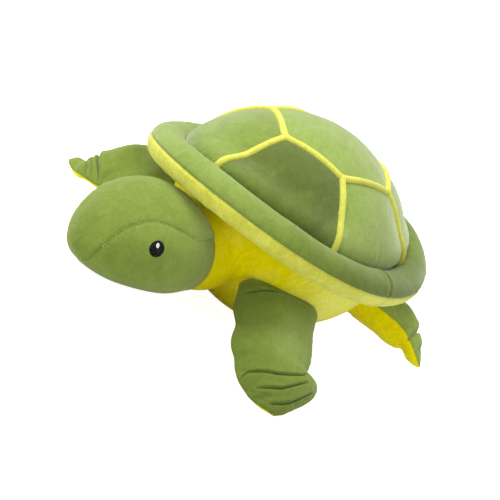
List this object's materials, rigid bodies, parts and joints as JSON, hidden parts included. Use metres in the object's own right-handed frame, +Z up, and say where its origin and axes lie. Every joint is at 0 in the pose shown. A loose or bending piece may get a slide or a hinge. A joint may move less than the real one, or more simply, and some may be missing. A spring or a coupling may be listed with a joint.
{
  "type": "plush sea turtle",
  "caption": "Plush sea turtle with a domed shell of sewn panels in a padded rim, a head that turns and flippers that flap; it rests on its flat belly.",
  "frame": {"origin": "on the flat rest face under the belly, below the centre of the shell's rim", "axes": "+X to the head, +Y to the turtle's left, +Z up"},
  "size_m": [0.4866, 0.4249, 0.232],
  "materials": {
    "green_pile": "short matt pile, olive to leaf green",
    "yellow_pile": "short matt pile, lemon yellow",
    "piping": "matt pale yellow cord",
    "stuffing": "white fibre filling",
    "black_stitching": "black satin stitch with a slight sheen",
    "white_stitching": "white satin stitch"
  },
  "bodies": {
    "shell": {"rim_top_cover": "green_pile", "rim_under_cover": "yellow_pile", "rim_filling": "stuffing", "piping_rib_1": "piping", "piping_rib_2": "piping", "piping_rib_3": "piping", "piping_rib_4": "piping", "piping_rib_5": "piping", "piping_rib_6": "piping", "piping_hexagon": "piping", "shell_panel_centre": "green_pile", "shell_panel_1": "green_pile", "shell_panel_2": "green_pile", "shell_panel_3": "green_pile", "shell_panel_4": "green_pile", "shell_panel_5": "green_pile", "shell_panel_6": "green_pile", "belly_cover": "yellow_pile", "body_filling": "stuffing"},
    "head": {"neck_sleeve": "yellow_pile", "neck_filling": "stuffing", "head_crown_panel": "green_pile", "head_left_panel": "green_pile", "head_right_panel": "green_pile", "head_filling": "stuffing", "left_eye": "black_stitching", "left_eye_glint": "white_stitching", "right_eye": "black_stitching", "right_eye_glint": "white_stitching"},
    "front_left_flipper": {"front_left_flipper_top": "green_pile", "front_left_flipper_underside": "yellow_pile", "front_left_flipper_filling": "stuffing"},
    "front_right_flipper": {"front_right_flipper_top": "green_pile", "front_right_flipper_underside": "yellow_pile", "front_right_flipper_filling": "stuffing"},
    "rear_left_flipper": {"rear_left_flipper_top": "green_pile", "rear_left_flipper_underside": "yellow_pile", "rear_left_flipper_filling": "stuffing"},
    "rear_right_flipper": {"rear_right_flipper_top": "green_pile", "rear_right_flipper_underside": "yellow_pile", "rear_right_flipper_filling": "stuffing"}
  },
  "joints": [
    {"name": "head_turn", "type": "hinge", "parent": "shell", "child": "head", "pos_m": [0.118, 0, 0.057], "axis": [0, 0, 1], "range_deg": [-8, 8]},
    {"name": "front_left_flap", "type": "hinge", "parent": "shell", "child": "front_left_flipper", "pos_m": [0.05465, 0.09471, 0.05974], "axis": [0.896, -0.4438, -0.0163], "range_deg": [-1, 16]},
    {"name": "front_right_flap", "type": "hinge", "parent": "shell", "child": "front_right_flipper", "pos_m": [0.05162, -0.09514, 0.06131], "axis": [-0.9077, -0.2548, 0.3333], "range_deg": [-1, 16]},
    {"name": "rear_left_flap", "type": "hinge", "parent": "shell", "child": "rear_left_flipper", "pos_m": [-0.1214, 0.0727, 0.07022], "axis": [0.8695, 0.3231, 0.3737], "range_deg": [-1, 16]},
    {"name": "rear_right_flap", "type": "hinge", "parent": "shell", "child": "rear_right_flipper", "pos_m": [-0.1214, -0.0727, 0.07022], "axis": [-0.8695, 0.3231, -0.3737], "range_deg": [-1, 16]}
  ]
}
